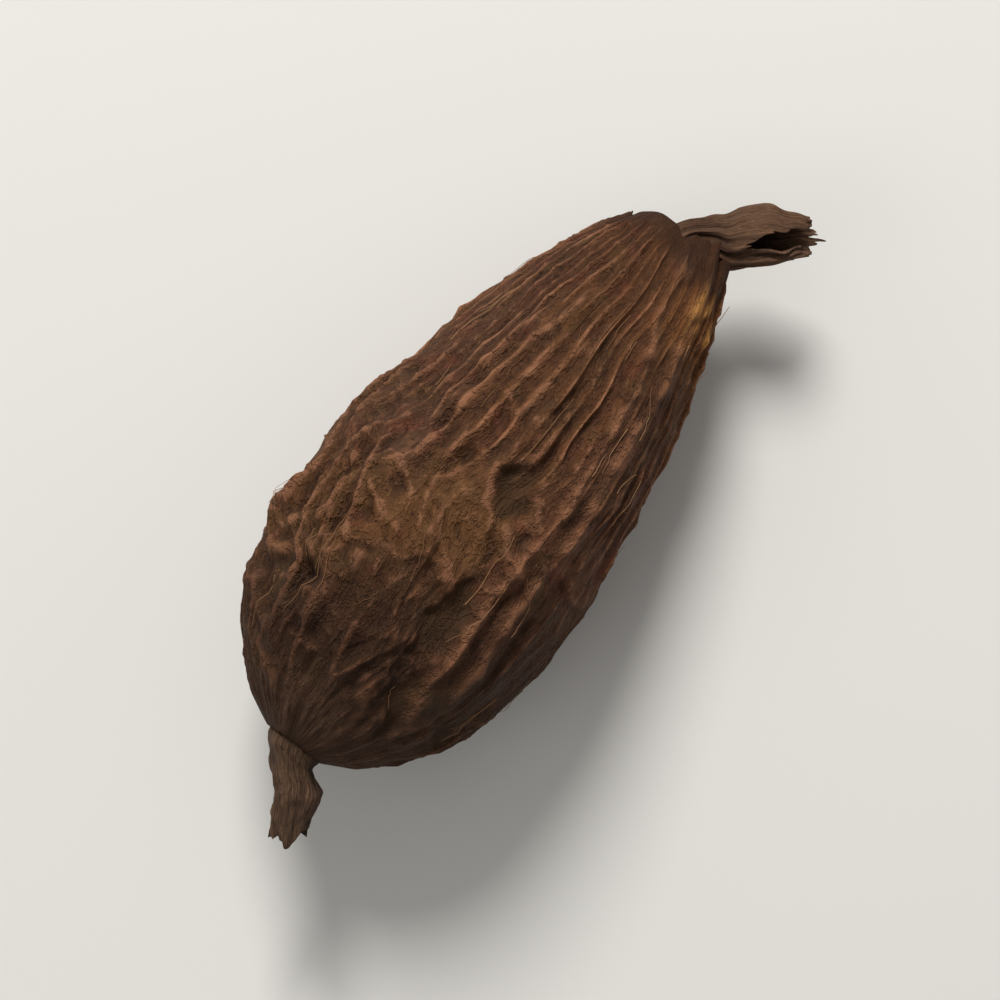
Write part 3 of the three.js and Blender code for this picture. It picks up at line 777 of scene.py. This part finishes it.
paper_layers = (
    (pleat_on, 0, 0.8, 0.5, (128, 93, 67)),
    # Painted shade: the pleats' hollows are darker.
    (pleat_on, 0, -0.8, 0.6, (52, 33, 22)),
    (lines["Hairs"], 0.5, 1, 0.3, (128, 92, 66)),
    # Painted shade: the inside of the mouth is dark.
    (value_on(tree, "inside_shade"), 0.1, 0.6, 0.9, (44, 26, 16)),
)
paper = layered(tree, paper, paper_layers)
tree.links.new(paper, surface.inputs["Base Color"])
surface.inputs["Roughness"].default_value = 0.8
surface.inputs["Specular IOR Level"].default_value = 0.3
bumped(tree, surface, lines["Height"], strength=0.8, distance=0.18 * MM)
calyx.data.materials.append(material)
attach(calyx, "root")
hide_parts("calyx")

# Loose fibres are threads of the husk's own skin that have come away here and there along the ribs.
# Each is a dry strand, three-sided and tapering, still joined to the husk at one end.
FIBRES = 80
FIBRE_STEPS = 9
FIRST_RING = 30
LAST_RING = 215
CURL = 1.1
LEAST_LIFT = 0.05
MORE_LIFT = 0.5
THIN = 0.018
THICK = 0.034
CLEAR = 0.02
STRAND_CORNERS = ((0, 1), (0.87, -0.5), (-0.87, -0.5))
random = np.random.default_rng(7)
fibre_points = []
fibre_faces = []
for _ in range(FIBRES):
    ring = random.integers(FIRST_RING, LAST_RING)
    column = random.integers(0, RIBS * RIB_STEPS)
    stride = random.choice((-1, 1)) * random.integers(1, 4)
    curl = random.normal(0, CURL)
    lift = LEAST_LIFT + MORE_LIFT * random.random() ** 3
    thick = random.uniform(THIN, THICK)
    t = np.linspace(0, 1, FIBRE_STEPS)
    rows = SOCKET_RINGS + np.clip(ring + stride * np.arange(FIBRE_STEPS), 0, BODY_RINGS - 1)
    columns = np.round(column + curl * 4 * t**2).astype(int) % (RIBS * RIB_STEPS)
    spine = own[rows, columns]
    outward = spine * (0, 1, 1)
    outward = outward / np.linalg.norm(outward, axis=1, keepdims=True)
    spine = spine + outward * (CLEAR + lift * t**2)[:, None]
    side = np.cross(outward, np.gradient(spine, axis=0))
    side = side / np.linalg.norm(side, axis=1, keepdims=True)
    size = (thick * (1 - 0.6 * t))[:, None]
    start = len(fibre_points)
    for a, b in STRAND_CORNERS:
        strand = leaned(*(spine + size * (a * side + b * outward)).T)
        strand[:, 2] = np.maximum(strand[:, 2], 0)
        fibre_points.extend(strand)
    for step_at in range(FIBRE_STEPS - 1):
        for edge_at in range(3):
            here = start + FIBRE_STEPS * edge_at + step_at
            there = start + FIBRE_STEPS * ((edge_at + 1) % 3) + step_at
            fibre_faces.append((here, there, there + 1, here + 1))
    fibre_faces.append((start, start + 2 * FIBRE_STEPS, start + FIBRE_STEPS))
    fibre_faces.append(tuple(start + FIBRE_STEPS * (edge_at + 1) - 1 for edge_at in range(3)))
fibre_mesh = bpy.data.meshes.new("loose_fibres")
fibre_mesh.from_pydata((np.array(fibre_points) * MM).tolist(), [], fibre_faces)
fibres = bpy.data.objects.new("loose_fibres", fibre_mesh)
bpy.context.collection.objects.link(fibres)
material, _, surface = plain_material("fibre_straw")
surface.inputs["Base Color"].default_value = tone(128, 92, 60)
surface.inputs["Roughness"].default_value = 0.7
surface.inputs["Specular IOR Level"].default_value = 0.3
fibres.data.materials.append(material)
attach(fibres, "root")

# The floor is a plain pale matt sheet that the pod lies on.
# Soft studio light falls on it, most of it from the picture's top, with a weak fill from its lower left.
FLOOR_HALF = 1.0
floor_corners = [(i * FLOOR_HALF, j * FLOOR_HALF, 0) for i, j in ((-1, -1), (1, -1), (1, 1), (-1, 1))]
floor_mesh = bpy.data.meshes.new("floor")
floor_mesh.from_pydata(floor_corners, [], [(0, 1, 2, 3)])
floor = bpy.data.objects.new("floor", floor_mesh)
bpy.context.collection.objects.link(floor)
material, _, surface = plain_material("floor_pale")
surface.inputs["Base Color"].default_value = tone(226, 223, 217)
surface.inputs["Roughness"].default_value = 0.9
surface.inputs["Specular IOR Level"].default_value = 0.1
floor.data.materials.append(material)
PICTURE_TURN = math.radians(-53)
PICTURE_RIGHT = (math.cos(PICTURE_TURN), math.sin(PICTURE_TURN))
PICTURE_UP = (-PICTURE_RIGHT[1], PICTURE_RIGHT[0])
WORLD_LIGHT = 0.3


def soft_light(name, right, up, above, size, power):
    light = bpy.data.lights.new(name, "AREA")
    light.shape = "DISK"
    light.size = size
    light.energy = power
    lamp = bpy.data.objects.new(name, light)
    lamp.location = [right * PICTURE_RIGHT[i] + up * PICTURE_UP[i] for i in (0, 1)] + [above]
    lamp.rotation_euler = (-lamp.location).to_track_quat("-Z", "Y").to_euler()
    bpy.context.collection.objects.link(lamp)


soft_light("key", right=-0.03, up=0.287, above=0.27, size=0.15, power=1.53)
soft_light("fill", right=-0.3, up=-0.16, above=0.25, size=0.3, power=0.26)
world = bpy.data.worlds.new("studio")
world.use_nodes = True
background = world.node_tree.nodes["Background"]
background.inputs["Color"].default_value = (1, 1, 1, 1)
background.inputs["Strength"].default_value = WORLD_LIGHT
bpy.context.scene.world = world
bpy.context.scene.view_settings.view_transform = "Standard"

# The camera looks nearly straight down, as it does in the photograph.
# It is turned so that the pod lies as it does there, with its stalk at the lower left.
FRAME_WIDTH = 0.039
TILT = math.radians(6)
TARGET = (0.0016, -0.0006, 0.005)
camera = bpy.data.cameras.new("camera")
camera.lens = 90
camera.sensor_width = 36
camera.clip_start = 0.01
viewer = bpy.data.objects.new("camera", camera)
distance = FRAME_WIDTH * camera.lens / camera.sensor_width
back = distance * math.sin(TILT)
viewer.location = (
    TARGET[0] - back * PICTURE_UP[0],
    TARGET[1] - back * PICTURE_UP[1],
    TARGET[2] + distance * math.cos(TILT),
)
viewer.rotation_euler = (TILT, 0, PICTURE_TURN)
bpy.context.collection.objects.link(viewer)
bpy.context.scene.camera = viewer
